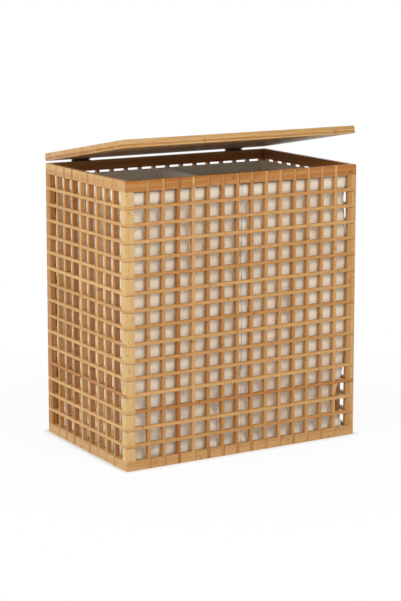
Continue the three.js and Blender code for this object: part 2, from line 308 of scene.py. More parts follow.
def shade_smooth(piece, angle):
    """Shades a piece smooth, apart from edges sharper than the angle."""
    take(piece)
    bpy.ops.object.shade_smooth_by_angle(angle=angle)


def modify(piece, kind, **settings):
    """Adds a modifier, sets it up and applies it."""
    take(piece)
    bpy.ops.object.modifier_add(type=kind)
    modifier = piece.modifiers[-1]
    for key, value in settings.items():
        setattr(modifier, key, value)
    bpy.ops.object.modifier_apply(modifier=modifier.name)


def near(a, b, slack=SLACK):
    return abs(a - b) < slack


def within(value, spans):
    return any(start < value < end for start, end in spans)


def toothed(name, low, high, axis, spans, rise):
    """A bar between two corners, with a tooth raised by rise along y over each span along its axis."""
    piece = block(name, low, high)
    slice_at(piece, axis, sorted({place for span in spans for place in span
                                  if low[axis] + SLACK < place < high[axis] - SLACK}))
    face = high[1] if rise > 0 else low[1]
    raise_faces(piece, lambda c, n: near(c.y, face) and abs(n.y) > FACING and within(c[axis], spans),
                (0, rise, 0))
    return piece


def mitre(piece, side, reach):
    """Leans one end of a wall's bar in by 45 degrees from the outer face, at y = 0, to the inner one."""
    end, half = side * (reach - LAP), LAP / 2
    shift(piece, lambda c: near(c.x, end, MITRE_REACH) and c.y > LAP + half, (-side * LAP, 0, 0))
    shift(piece, lambda c: near(c.x, end, MITRE_REACH) and c.y < LAP - half, (side * LAP, 0, 0))


def new_stave():
    return chance.uniform(0, 100)


def stamp(piece, stave, tone=PLAIN_TONE):
    """Gives every point of a piece the number of the stave it was cut from, and its tone."""
    for label, value in (("stave", stave), ("tone", tone)):
        mark = piece.data.attributes.new(label, "FLOAT", "POINT")
        mark.data.foreach_set("value", [value] * len(piece.data.vertices))
    return piece


def copies(piece, offsets, name, tones):
    """One piece made of a copy of the given bar at each offset, each copy from its own stave."""
    made = []
    for offset in offsets:
        copy = copy_of(piece, "bar", Matrix.Translation(offset))
        made.append(stamp(copy, new_stave(), chance.choice(tones)))
    discard(piece)
    deselect()
    for copy in made:
        copy.select_set(True)
    bpy.context.view_layer.objects.active = made[0]
    bpy.ops.object.join()
    return named(bpy.context.object, name)


def finish(piece, material, body, slot, *nodes):
    """Gives a piece its material, its body and the solids that it stands for. The slot is not used."""
    piece.data.materials.clear()
    piece.data.materials.append(material)
    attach(piece, body)
    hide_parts(*nodes)


# Finishes
def linear(red, green, blue):
    """A colour given in display values from 0 to 255."""
    return tuple(((c / 255 + 0.055) / 1.055) ** 2.4 for c in (red, green, blue)) + (1,)


SLAT_PALE, SLAT_DEEP = linear(210, 167, 108), linear(164, 103, 43)
FRAME_PALE, FRAME_DEEP = linear(212, 177, 120), linear(165, 103, 40)
LID_PALE, LID_DEEP = linear(208, 175, 118), linear(163, 105, 45)
BOARD_PALE, BOARD_DEEP = linear(196, 158, 110), linear(170, 128, 84)
BRONZE_DARK, BRONZE_BROWN, BRONZE_WORN = linear(52, 40, 34), linear(74, 57, 47), linear(140, 108, 84)
CANVAS_PALE, CANVAS_GREY = linear(246, 238, 221), linear(236, 225, 204)
SLUB, THREAD = linear(236, 230, 216), linear(238, 232, 220)
# The tape's grey paints the shade between its hooks.
TAPE_PALE, TAPE_SHADE_GREY = linear(226, 220, 206), linear(176, 168, 152)
# What darker spots are multiplied by
FLECK_TINT, HALO_TINT, RING_TINT = (0.62, 0.47, 0.30, 1), (0.80, 0.66, 0.46, 1), (0.50, 0.33, 0.18, 1)
# The hollow, crease and hole tints paint shade: in the low parts of the weave, along the creases by the
# seams and in the stitch holes.
HOLLOW_SHADE_TINT, CREASE_SHADE_TINT, HOLE_SHADE_TINT = (0.62, 0.56, 0.48, 1), (0.55, 0.50, 0.44, 1), (0.35, 0.31, 0.27, 1)
LINT_TINT = (0.75, 0.70, 0.62, 1)

SLAT_STRIP, FRAME_STRIP, LID_STRIP, BOARD_STRIP = 0.5, 0.0069, 0.019, 0.09
NODES_PER_METRE = 3.1
RING_WIDTH, HALO_WIDTH = 0.006, 0.024
THREAD_PITCH, STITCH_PITCH = 0.00085, 0.0034
SOCKET_KINDS = {"Place": "Vector", "Flat": "Vector", "Pale": "Color", "Deep": "Color", "Color": "Color"}


def wire(tree, inputs, key, value):
    """Sets an input of a shader node to a value, or wires it to another node."""
    if isinstance(value, bpy.types.NodeSocket):
        tree.links.new(value, inputs[key])
    else:
        inputs[key].default_value = value


def put(tree, kind, inputs=None, **settings):
    """Adds a shader node, sets it up and wires its inputs."""
    made = tree.nodes.new("ShaderNode" + kind)
    for key, value in settings.items():
        setattr(made, key, value)
    for key, value in (inputs or {}).items():
        wire(tree, made.inputs, key, value)
    return made


def maths(tree, operation, *values, clamp=False):
    return put(tree, "Math", dict(enumerate(values)), operation=operation, use_clamp=clamp).outputs[0]


def times(tree, a, b):
    return maths(tree, "MULTIPLY", a, b)


def plus(tree, a, b):
    return maths(tree, "ADD", a, b)


def minus(tree, a, b):
    return maths(tree, "SUBTRACT", a, b)


def times_plus(tree, a, b, c):
    return maths(tree, "MULTIPLY_ADD", a, b, c)


def size_of(tree, value):
    return maths(tree, "ABSOLUTE", value)


def vectors(tree, operation, *values):
    """The outcome of a sum with vectors, as a vector."""
    return put(tree, "VectorMath", dict(enumerate(values)), operation=operation).outputs["Vector"]


def length_of(tree, vector):
    return put(tree, "VectorMath", {0: vector}, operation="LENGTH").outputs["Value"]


def spread(tree, value, low, high, to_low=0.0, to_high=1.0, smooth=False):
    """Maps a value from one range to another, clamped."""
    inputs = {"Value": value, "From Min": low, "From Max": high, "To Min": to_low, "To Max": to_high}
    kind = "SMOOTHSTEP" if smooth else "LINEAR"
    return put(tree, "MapRange", inputs, interpolation_type=kind).outputs["Result"]


def fading(tree, distance, reach, top=1.0):
    """The top at no distance, falling smoothly to nothing at the reach."""
    return spread(tree, distance, 0.0, reach, top, 0.0, smooth=True)


def stretched(tree, vector, scale, offset=(0, 0, 0)):
    """The vector times a scale along each axis, plus an offset."""
    return vectors(tree, "ADD", vectors(tree, "MULTIPLY", vector, scale), offset)


def clouds(tree, vector, scale=1, detail=2, roughness=0.5):
    inputs = {"Vector": vector, "Scale": scale, "Detail": detail, "Roughness": roughness}
    return put(tree, "TexNoise", inputs).outputs[0]


def blended(tree, kind, factor, a, b):
    """Two colours blended. Inputs 6 and 7 of the node are its colours, and output 2 is the blend."""
    made = put(tree, "Mix", {0: factor}, data_type="RGBA", blend_type=kind)
    wire(tree, made.inputs, 6, a)
    wire(tree, made.inputs, 7, b)
    return made.outputs[2]


def stained(tree, colour, mask, strength, tint):
    """The colour, multiplied by a tint where the mask is."""
    return blended(tree, "MULTIPLY", times(tree, mask, strength), colour, tint)


def group(name, inputs, outputs):
    """A new node group, with what it is given and what it gives."""
    tree = bpy.data.node_groups.new(name, "ShaderNodeTree")
    for way, labels in (("INPUT", inputs), ("OUTPUT", outputs)):
        for label in labels:
            kind = "NodeSocket" + SOCKET_KINDS.get(label, "Float")
            tree.interface.new_socket(label, in_out=way, socket_type=kind)
    return tree, tree.nodes.new("NodeGroupInput").outputs, tree.nodes.new("NodeGroupOutput").inputs


def give(tree, result, **values):
    """Wires the values that a group gives."""
    for label, value in values.items():
        tree.links.new(value, result[label])


def use(tree, made_group, **inputs):
    made = tree.nodes.new("ShaderNodeGroup")
    made.node_tree = made_group
    for key, value in inputs.items():
        wire(tree, made.inputs, key, value)
    return made.outputs


def bamboo_group():
    """Bamboo with its grain along x: strips of their own tone, streaks, fibres, flecks and culm nodes."""
    tree, given, result = group("bamboo_grain", ("Place", "Stave", "Tone", "Strip", "Pale", "Deep"),
                                ("Color", "Roughness", "Height"))
    along, wide, thick = put(tree, "SeparateXYZ", {0: given["Place"]}).outputs
    strip_one, strip_two = [maths(tree, "FLOOR", maths(tree, "DIVIDE", side, given["Strip"]))
                            for side in (wide, thick)]
    seed = plus(tree, times_plus(tree, strip_one, 7.31, given["Stave"]), times(tree, strip_two, 3.17))
    draw = put(tree, "TexWhiteNoise", {"W": seed}, noise_dimensions="1D").outputs["Color"]
    apart = vectors(tree, "MULTIPLY", draw, (9, 9, 9))
    red, green, blue = put(tree, "SeparateColor", {0: draw}).outputs

    def grain(stretch, detail, roughness=0.5):
        return clouds(tree, stretched(tree, given["Place"], stretch, apart), 1, detail, roughness)

    streaks, fibres = grain((5, 150, 150), 3, 0.6), grain((26, 900, 900), 2, 0.65)
    fleck = spread(tree, grain((70, 2100, 2100), 1), 0.60, 0.68)
    wander = times(tree, grain((0, 90, 90), 2), 0.012)
    ring_place = plus(tree, times_plus(tree, along, NODES_PER_METRE, green), wander)
    ring_off = size_of(tree, minus(tree, maths(tree, "FRACT", ring_place), 0.5))
    has_ring = spread(tree, blue, 0.3, 0.32)
    ring, halo = [times(tree, fading(tree, ring_off, width), has_ring) for width in (RING_WIDTH, HALO_WIDTH)]

    tone = maths(tree, "ADD", times_plus(tree, red, 0.3, given["Tone"]),
                 times_plus(tree, spread(tree, streaks, 0.3, 0.7), 0.34, -0.32), clamp=True)
    shade = spread(tree, fibres, 0.3, 0.7, 0.80, 1.10)
    shade = put(tree, "CombineColor", {0: shade, 1: shade, 2: shade}).outputs[0]
    colour = blended(tree, "MULTIPLY", 1.0, blended(tree, "MIX", tone, given["Pale"], given["Deep"]), shade)
    for mask, strength, tint in ((fleck, 0.55, FLECK_TINT), (halo, 0.35, HALO_TINT),
                                 (ring, 0.75, RING_TINT)):
        colour = stained(tree, colour, mask, strength, tint)
    height = minus(tree, times(tree, fibres, 0.5), times(tree, fleck, 0.4))
    give(tree, result, Color=colour, Height=plus(tree, height, times(tree, ring, 0.8)),
         Roughness=plus(tree, spread(tree, fibres, 0.3, 0.7, 0.36, 0.48), times(tree, fleck, 0.14)))
    return tree


def patina_group():
    """Dark bronzed steel: a mottled coat, worn to warmer metal in small patches and fine scratches."""
    tree, given, result = group("bronze_patina", ("Place", "Stave"), ("Color", "Roughness", "Height"))
    moved = vectors(tree, "ADD", given["Place"], put(tree, "CombineXYZ", {0: given["Stave"]}).outputs[0])
    mottle, grit = clouds(tree, moved, 260, 4, 0.6), clouds(tree, moved, 1600, 2, 0.6)
    brushed = clouds(tree, stretched(tree, moved, (120, 3800, 1500)))
    worn = times(tree, spread(tree, mottle, 0.56, 0.7), spread(tree, grit, 0.42, 0.62))
    bare = maths(tree, "MAXIMUM", worn, times(tree, spread(tree, brushed, 0.66, 0.72), 0.5))
    coat = blended(tree, "MIX", spread(tree, mottle, 0.3, 0.7), BRONZE_DARK, BRONZE_BROWN)
    give(tree, result, Color=blended(tree, "MIX", bare, coat, BRONZE_WORN),
         Roughness=minus(tree, spread(tree, grit, 0.3, 0.7, 0.36, 0.52), times(tree, bare, 0.12)),
         Height=minus(tree, times(tree, grit, 0.4), times(tree, bare, 0.5)))
    return tree


def weave_group():
    """Plain weave on a flat layout in metres: two sets of threads over and under, with thick spots."""
    tree, given, result = group("plain_weave", ("Flat", "Pitch"), ("Height", "Hollow", "Slub", "Cast"))
    flat = given["Flat"]
    sway = times(tree, minus(tree, clouds(tree, flat, 90), 0.5), 0.9)
    warp, weft = [plus(tree, maths(tree, "DIVIDE", way, given["Pitch"]), sway)
                  for way in put(tree, "SeparateXYZ", {0: flat}).outputs[:2]]
    warp_wave, weft_wave = [size_of(tree, maths(tree, "SINE", times(tree, thread, math.pi)))
                            for thread in (warp, weft)]
    crossing = plus(tree, maths(tree, "FLOOR", warp), maths(tree, "FLOOR", weft))
    over = size_of(tree, maths(tree, "MODULO", crossing, 2))
    under = minus(tree, 1, over)
    height = maths(tree, "MAXIMUM", times(tree, warp_wave, times_plus(tree, over, 0.5, 0.5)),
                   times(tree, weft_wave, times_plus(tree, under, 0.5, 0.5)))
    standing = clouds(tree, stretched(tree, flat, (700, 22, 1)), 1, 1)
    level = clouds(tree, stretched(tree, flat, (22, 700, 1), (5, 5, 0)), 1, 1)
    slub = maths(tree, "MAXIMUM", spread(tree, standing, 0.6, 0.75), spread(tree, level, 0.6, 0.75))
    # The hollow mask is highest where the weave lies lowest, and the canvas paints shade there.
    give(tree, result, Height=times_plus(tree, slub, 0.35, height), Slub=slub,
         Hollow=spread(tree, height, 0.0, 0.55, 1.0, 0.0),
         Cast=clouds(tree, stretched(tree, flat, (7, 5, 1)), 1, 3))
    return tree


def stitch_group():
    """A row of stitches at a set drop below the rim, and the puckered ridge along a sewn edge."""
    tree, given, result = group("sewing", ("Flat", "Drop", "Seam", "Row"),
                                ("Thread", "Hole", "Crease", "Pucker"))
    across = put(tree, "SeparateXYZ", {0: given["Flat"]}).outputs[0]
    stitch = maths(tree, "FRACT", maths(tree, "DIVIDE", across, STITCH_PITCH))
    dash = size_of(tree, minus(tree, stitch, 0.5))
    off = size_of(tree, minus(tree, given["Drop"], given["Row"]))
    line = spread(tree, off, 0.0003, 0.00045, 1.0, 0.0)
    ripples = clouds(tree, stretched(tree, given["Flat"], (60, 60, 1)))
    puckered = maths(tree, "MAXIMUM", fading(tree, given["Seam"], 0.02), fading(tree, off, 0.014))
    give(tree, result, Thread=times(tree, line, spread(tree, dash, 0.40, 0.43, 1.0, 0.0)),
         Hole=times(tree, line, spread(tree, dash, 0.42, 0.46)), Pucker=times(tree, ripples, puckered),
         Crease=fading(tree, given["Seam"], 0.0016))
    return tree


BAMBOO, PATINA, WEAVE, SEWING = bamboo_group(), patina_group(), weave_group(), stitch_group()
ALONG = {"x": (0, 0, 0), "y": (0, 0, -math.pi / 2), "z": (0, math.pi / 2, 0)}


def new_material(name):
    material = bpy.data.materials.new(name)
    material.use_nodes = True
    material.node_tree.nodes.clear()
    return material, material.node_tree


def to_output(tree, shader, kind="Material"):
    tree.links.new(shader.outputs[0], tree.nodes.new("ShaderNodeOutput" + kind).inputs["Surface"])


def bumps(tree, height, strength, distance, **more):
    inputs = {"Height": height, "Strength": strength, "Distance": distance, **more}
    return put(tree, "Bump", inputs).outputs[0]


def place_in(tree, layout="Object"):
    return tree.nodes.new("ShaderNodeTexCoord").outputs[layout]


def mark_in(tree, label):
    """The value that each point of the piece carries under a label."""
    return put(tree, "Attribute", attribute_name=label).outputs["Fac"]


def bamboo(name, grain, pale, deep, strip, turn=(0, 0, 0)):
    """Lacquered bamboo with its grain along one axis. A turn lays the pattern along a board at an angle."""
    material, tree = new_material(name)
    rotation = [a + b for a, b in zip(ALONG[grain], turn)]
    place = put(tree, "Mapping", {"Vector": place_in(tree), "Rotation": rotation}).outputs[0]
    made = use(tree, BAMBOO, Place=place, Stave=mark_in(tree, "stave"), Tone=mark_in(tree, "tone"),
               Strip=strip, Pale=pale, Deep=deep)
    to_output(tree, put(tree, "BsdfPrincipled", {
        "Base Color": made["Color"], "Roughness": made["Roughness"], "Specular IOR Level": 0.25,
        "Coat Weight": 0.06, "Coat Roughness": 0.3, "Normal": bumps(tree, made["Height"], 0.5, 0.0002)}))
    return material


def bronzed(name, gloss):
    """Steel with a dark bronze coat."""
    material, tree = new_material(name)
    made = use(tree, PATINA, Place=place_in(tree), Stave=mark_in(tree, "stave"))
    to_output(tree, put(tree, "BsdfPrincipled", {
        "Base Color": made["Color"], "Roughness": times(tree, made["Roughness"], gloss), "Metallic": 0.85,
        "Normal": bumps(tree, made["Height"], 0.4, 0.00005)}))
    return material


def canvas(name, pale, grey):
    """Woven cotton with its stitches, and creased and puckered where it is sewn, with painted shade in the
    weave's hollows, along the creases and in the stitch holes.
    """
    material, tree = new_material(name)
    flat = place_in(tree, "UV")
    cloth = use(tree, WEAVE, Flat=flat, Pitch=THREAD_PITCH)
    sewing = use(tree, SEWING, Flat=flat, Drop=mark_in(tree, "drop"), Seam=mark_in(tree, "seam"),
                 Row=STITCH_ROW)
    colour = blended(tree, "MIX", spread(tree, cloth["Cast"], 0.3, 0.7), pale, grey)
    # Painted shade in the hollows between the threads.
    colour = stained(tree, colour, cloth["Hollow"], 0.35, HOLLOW_SHADE_TINT)
    colour = blended(tree, "MIX", times(tree, cloth["Slub"], 0.25), colour, SLUB)
    # Painted shade along the creases by the seams.
    colour = stained(tree, colour, sewing["Crease"], 0.15, CREASE_SHADE_TINT)
    colour = blended(tree, "MIX", sewing["Thread"], colour, THREAD)
    # Painted shade in the stitch holes.
    colour = stained(tree, colour, sewing["Hole"], 0.6, HOLE_SHADE_TINT)
    threads = bumps(tree, cloth["Height"], 0.5, 0.0003)
    ridges = minus(tree, times(tree, sewing["Pucker"], 1.6),
                   plus(tree, sewing["Crease"], times(tree, sewing["Hole"], 0.5)))
    ridges = times_plus(tree, sewing["Thread"], 0.5, ridges)
    to_output(tree, put(tree, "BsdfPrincipled", {
        "Base Color": colour, "Roughness": 0.92, "Sheen Weight": 0.15, "Sheen Roughness": 0.5,
        "Specular IOR Level": 0.2, "Normal": bumps(tree, ridges, 0.8, 0.001, Normal=threads)}))
    return material


def hook_tape(name):
    """Rows of tiny hooks on a woven strip, greyer between the hooks as painted shade."""
    material, tree = new_material(name)
    place = place_in(tree)
    hooks = put(tree, "TexVoronoi", {"Vector": place, "Scale": 900, "Randomness": 0.35}).outputs["Distance"]
    lint = spread(tree, clouds(tree, place, 220, 3), 0.5, 0.8)
    # Greyer away from each hook's top, where the tape lies lowest: painted shade between the hooks.
    colour = blended(tree, "MIX", spread(tree, hooks, 0.2, 0.6), TAPE_PALE, TAPE_SHADE_GREY)
    to_output(tree, put(tree, "BsdfPrincipled", {
        "Base Color": stained(tree, colour, lint, 0.4, LINT_TINT), "Roughness": 0.85,
        "Normal": bumps(tree, minus(tree, 1, hooks), 0.8, 0.0005)}))
    return material


slat_finish, frame_finish = {}, {}
for axis in "xyz":
    slat_finish[axis] = bamboo("bamboo_slat_" + axis, axis, SLAT_PALE, SLAT_DEEP, SLAT_STRIP)
    frame_finish[axis] = bamboo("bamboo_frame_" + axis, axis, FRAME_PALE, FRAME_DEEP, FRAME_STRIP)
lid_finish = bamboo("bamboo_lid_x", "x", LID_PALE, LID_DEEP, LID_STRIP, (LID_ANGLE, 0, 0))
board_finish = bamboo("bamboo_board_x", "x", BOARD_PALE, BOARD_DEEP, BOARD_STRIP)
bronze_finish, screw_finish = bronzed("dark_bronze", 1.0), bronzed("screw_bronze", 0.85)
canvas_finish = canvas("cream_canvas", CANVAS_PALE, CANVAS_GREY)
tape_finish = hook_tape("hook_tape")


# Walls
def bars(count, start, pitch):
    """The two edges of each slat between the openings."""
    return [(start + k * pitch - SLAT, start + k * pitch) for k in range(1, count)]


def gaps(slats, start, end, before=0, after=0):
    """The spans between the slats. Each stops a seam before a slat, and the next starts a seam after it."""
    starts = [start] + [high + after for low, high in slats]
    ends = [low - before for low, high in slats] + [end]
    return list(zip(starts, ends))


def on_face(c):
    return near(c.y, 0) or near(c.y, WALL)


def at_corner(reach):
    """A test for the upright edges where two walls meet."""
    return lambda c, d: abs(d.z) > STRAIGHT and near(c.y, 0) and abs(c.x) > reach - CORNER_REACH


row_low, row_high = BOTTOM_RAIL, HEIGHT - TOP_RAIL
row_bars = bars(ROWS, row_low, (row_high - row_low + SLAT) / ROWS)
row_spans = gaps(row_bars, row_low, row_high)


def crossbar(reach, inner, uprights):
    """A level slat: its outer half runs from corner to corner, its inner half only fills the openings."""
    piece = toothed("crossbar", (-reach + LAP, 0, 0), (reach - LAP, LAP - LAP_GAP, SLAT), 0,
                    gaps(uprights, -inner, inner, TIGHT_SEAM, TIGHT_SEAM), WALL - LAP + LAP_GAP)
    slice_at(piece, 0, (-inner - END_BLEND, inner + END_BLEND))
    for side in (-1, 1):
        shift(piece, lambda c: near(c.x, side * (reach - LAP)) and c.y < LAP / 2, (side * LAP, 0, 0))
    spans = gaps(uprights, -inner, inner)
    ease(piece, SLAT_EASE, 1, lambda c, d: abs(d.x) > STRAIGHT and within(c.x, spans) and on_face(c))
    ease(piece, SLAT_EASE, 1, at_corner(reach))
    return piece


def pale_ends(level, inner):
    """Makes the left ends of the crossbars, where they lap the stile, nearly as pale as that stile."""
    for vertex, mark in zip(level.data.vertices, level.data.attributes["tone"].data):
        if vertex.co.x < -inner - END_BLEND / 2:
            mark.value += (PALE_END - mark.value) * PALE_SHARE


def upright():
    """A standing slat: its outer half laps the rails, its inner half runs between them."""
    piece = toothed("upright", (0, LAP + LAP_GAP, row_low), (SLAT, WALL, row_high), 2,
                    gaps(row_bars, row_low, row_high, TIGHT_SEAM, TIGHT_SEAM), -LAP - LAP_GAP)
    raise_faces(piece, lambda c, n: n.z < -FACING and near(c.z, row_low) and c.y < LAP, (0, 0, -row_low))
    raise_faces(piece, lambda c, n: n.z > FACING and near(c.z, row_high) and c.y < LAP, (0, 0, TOP_RAIL))
    ease(piece, SLAT_EASE, 1, lambda c, d: abs(d.z) > STRAIGHT and within(c.z, row_spans) and on_face(c))
    ease(piece, FRAME_EASE, 2,
         lambda c, d: abs(d.x) > STRAIGHT and near(c.y, 0) and (near(c.z, 0) or near(c.z, HEIGHT)))
    return piece


def rail(low, high, reach, inner, uprights, open_side):
    """A rail the whole length of its wall, mitred at both ends, its outer half notched for the uprights."""
    before, after = (TIGHT_SEAM, OPEN_SEAM) if open_side > 0 else (OPEN_SEAM, TIGHT_SEAM)
    piece = toothed("rail", (-reach + LAP, LAP, low), (reach - LAP, WALL, high), 0,
                    gaps(uprights, -reach + LAP, reach - LAP, before, after), -LAP)
    for side in (-1, 1):
        mitre(piece, side, reach)
    outside, inside = (low, high) if low == 0 else (high, low)
    ease(piece, FRAME_EASE, 2, lambda c, d: abs(d.x) > STRAIGHT and near(c.z, outside) and on_face(c))
    ease(piece, SLAT_EASE, 1,
         lambda c, d: abs(d.x) > STRAIGHT and near(c.z, inside) and abs(c.x) < inner and on_face(c))
    ease(piece, SLAT_EASE, 1, at_corner(reach))
    return piece


def stile(side, reach, inner):
    """A corner post between the rails, mitred at the corner, its outer half notched for the crossbars."""
    foot, top = row_low + TIGHT_SEAM, row_high - TIGHT_SEAM
    ends = sorted((side * (reach - LAP), side * inner))
    piece = toothed("stile", (ends[0], LAP, foot), (ends[1], WALL, top), 2,
                    gaps(row_bars, foot, top, OPEN_SEAM, TIGHT_SEAM), -LAP)
    mitre(piece, side, reach)
    ease(piece, SLAT_EASE, 1, lambda c, d: abs(d.z) > STRAIGHT and near(c.x, side * inner)
         and within(c.z, row_spans) and on_face(c))
    ease(piece, SLAT_EASE, 1, at_corner(reach))
    return piece


def finish_frame(piece, kind, to_wall, material, node):
    """Names one of a wall's rails or stiles after its solid, moves it to its place and finishes it."""
    stamp(named(piece, f"{node}_{kind}"), new_stave(), FRAME_TONES.get(node, PLAIN_TONE))
    finish(settle(piece, to_wall), material, "hamper", "bamboo", node)


for name, across, columns, turn, place, open_side, stile_names in WALLS:
    reach = across / 2 - MITRE_GAP
    inner = across / 2 - STILE
    uprights = bars(columns, -inner, (2 * inner + SLAT) / columns)
    lying = "x" if name in ("front", "back") else "y"
    to_wall = Matrix.Translation(place) @ Matrix.Rotation(turn, 4, "Z")

    level = copies(crossbar(reach, inner, uprights), [(0, 0, low) for low, high in row_bars],
                   name + "_crossbars", LEVEL_TONES[name])
    if name == "front":
        pale_ends(level, inner)
    finish(settle(level, to_wall), slat_finish[lying], "hamper", "bamboo_slat", name + "_lattice")
    standing = copies(upright(), [(low, 0, 0) for low, high in uprights],
                      name + "_uprights", STANDING_TONES[name])
    finish(settle(standing, to_wall), slat_finish["z"], "hamper", "bamboo_slat", name + "_lattice")
    for label, low, high in (("top", row_high, HEIGHT), ("bottom", 0, row_low)):
        finish_frame(rail(low, high, reach, inner, uprights, open_side), "board", to_wall,
                     frame_finish[lying], f"{name}_{label}_rail")
    for side, end in zip((-1, 1), stile_names):
        finish_frame(stile(side, reach, inner), "post", to_wall, frame_finish["z"], f"{name}_{end}_stile")


# Lid
def lid_board():
    """The lid as it lies closed: eased all round, with a fine groove between two of its glued layers."""
    low = Vector((-WIDTH / 2, MIDDLE_Y - DEPTH / 2, HEIGHT + 2 * LEAF_OUTER))
    high = low + Vector((WIDTH, DEPTH, LID_THICKNESS))
    piece = block("lid_panel", low, high)
    line, core = low.z + LID_THICKNESS * GLUE_LINE_SHARE, low.z + LID_THICKNESS * CORE_SHARE
    slice_at(piece, 2, (line - LAYER_BLEND, line, line + GLUE_LINE, core, core + LAYER_BLEND))
    if pick(piece, "faces", lambda c, n: line < c.z < line + GLUE_LINE and abs(n.z) < LEVEL):
        swell(-GLUE_LINE)
    done()
    ease(piece, LID_EASE, 3, lambda c, d: near(c.z, low.z) or near(c.z, high.z)
         or (abs(d.z) > STRAIGHT and near(abs(c.x), WIDTH / 2) and (near(c.y, low.y) or near(c.y, high.y))))
    stamp(piece, LID_STAVE, LID_TONE)
    # The core layer takes its own darker tone; the underside takes a deeper one that paints the shade under
    # the lid.
    for vertex, mark in zip(piece.data.vertices, piece.data.attributes["tone"].data):
        if line - SLACK < vertex.co.z < core + SLACK:
            mark.value = CORE_TONE
        elif near(vertex.co.z, low.z):
            mark.value = UNDERSIDE_SHADE_TONE
    return piece


lid = settle(lid_board(), LID_TURN)
finish(lid, lid_finish, "lid", "bamboo_lid", "lid_board")
shade_smooth(lid, CRISP)


# Hinges, each modelled about its pin's axis, with the leaf under the axis and towards the front
def knuckle_spans(first):
    """Where a leaf has its knuckles along the pin: every other one, from knuckle 0 or 1."""
    half, pitch = LEAF_LENGTH / 2, LEAF_LENGTH / KNUCKLES
    spans = []
    for k in range(first, KNUCKLES, 2):
        start = -half + k * pitch + (KNUCKLE_GAP / 2 if k > 0 else 0)
        end = -half + (k + 1) * pitch - (KNUCKLE_GAP / 2 if k < KNUCKLES - 1 else 0)
        spans.append((start, end))
    return spans


def sink_screw(leaf, place):
    """Cuts a countersunk hole into a leaf."""
    sink = peg("sink", SCREW + SINK_ROOM, -SINK_REACH, -LEAF_INNER - SCREW_DEPTH, SINK_SIDES)
    flare = (SCREW_HEAD + SINK_ROOM) / (SCREW + SINK_ROOM)
    raise_faces(sink, lambda c, n: n.z > FACING, (0, 0, SCREW_DEPTH), (flare, flare, 1))
    raise_faces(sink, lambda c, n: n.z > FACING, (0, 0, SINK_RISE))
    settle(sink, Matrix.Translation((place, SCREW_LINE, 0)))
    modify(leaf, "BOOLEAN", object=sink, operation="DIFFERENCE")
    discard(sink)


def hinge_leaf(first):
    """A leaf whose knuckles are rolled from its back edge round the pin. The first knuckle is 0 or 1."""
    half, front = LEAF_LENGTH / 2, -SETBACK - LEAF_WIDTH
    leaf = block("leaf", (-half, front, -LEAF_OUTER), (half, -SETBACK, -LEAF_INNER))
    spans = knuckle_spans(first)
    slice_at(leaf, 0, [place for span in spans for place in span if abs(place) < half - SLACK])
    roll_middle = -(KNUCKLE + BORE) / 2
    if pick(leaf, "faces", lambda c, n: n.y > FACING and within(c.x, spans)):
        extrude((0, SETBACK, (LEAF_OUTER + LEAF_INNER) / 2 + roll_middle))
        taper((1, 1, (KNUCKLE - BORE) / (LEAF_OUTER - LEAF_INNER)), (0, 0, roll_middle))
        bpy.ops.mesh.spin(steps=KNUCKLE_STEPS, angle=-KNUCKLE_ROLL, center=(0, 0, 0), axis=(1, 0, 0))
        bpy.ops.mesh.select_all(action="SELECT")
        bpy.ops.mesh.remove_doubles(threshold=WELD)
        bpy.ops.mesh.normals_make_consistent(inside=False)
    done()
    ease(leaf, LEAF_CORNER, 4,
         lambda c, d: abs(d.z) > STRAIGHT and near(abs(c.x), half) and near(c.y, front))
    ease(leaf, LEAF_EASE, 2, lambda c, d: near(c.z, -LEAF_INNER) and c.y < -SETBACK + SLACK)
    for place in SCREW_PLACES:
        sink_screw(leaf, place)
    shade_smooth(leaf, CRISP)
    return leaf


def hinge_screw():
    """A countersunk screw with a cross in its head."""
    top, flare = -LEAF_INNER, SCREW_HEAD / SCREW
    screw = peg("screw", SCREW, top - SCREW_LENGTH + SCREW_TIP, top - SCREW_DEPTH, ROUND_SIDES)
    raise_faces(screw, lambda c, n: n.z < -FACING, (0, 0, -SCREW_TIP), (TIP_TAPER, TIP_TAPER, 1))
    raise_faces(screw, lambda c, n: n.z > FACING, (0, 0, SCREW_DEPTH), (flare, flare, 1))
    ease(screw, SCREW_EASE, 2, lambda c, d: near(c.z, top) and math.hypot(c.x, c.y) > SCREW_RIM)
    if pick(screw, "faces", lambda c, n: n.z > FACING and near(c.z, top)):
        for axis in (0, 1):
            for place in (-CROSS_ARM, -CROSS_HALF, CROSS_HALF, CROSS_ARM):
                cut_across(axis, place)
    done()

    def in_cross(c):
        narrow, far = sorted((abs(c.x), abs(c.y)))
        return narrow < CROSS_HALF and far < CROSS_ARM

    raise_faces(screw, lambda c, n: n.z > FACING and near(c.z, top) and in_cross(c), (0, 0, -CROSS_DEPTH))
    shade_smooth(screw, CRISP)
    return screw


def hinge_pin():
    """A pin with a domed head at each end."""
    half = LEAF_LENGTH / 2 + KNUCKLE_GAP
    pin = peg("pin", PIN, -half, half, ROUND_SIDES)
    for side in (-1, 1):
        if pick(pin, "faces", lambda c, n: n.z * side > FACING and c.z * side > half - SLACK):
            for rise, factor in PIN_DOME:
                extrude((0, 0, side * rise))
                taper((factor, factor, 1))
        done()
    shade_smooth(pin, ROUNDED)
    return settle(pin, Matrix.Rotation(math.pi / 2, 4, "Y"))


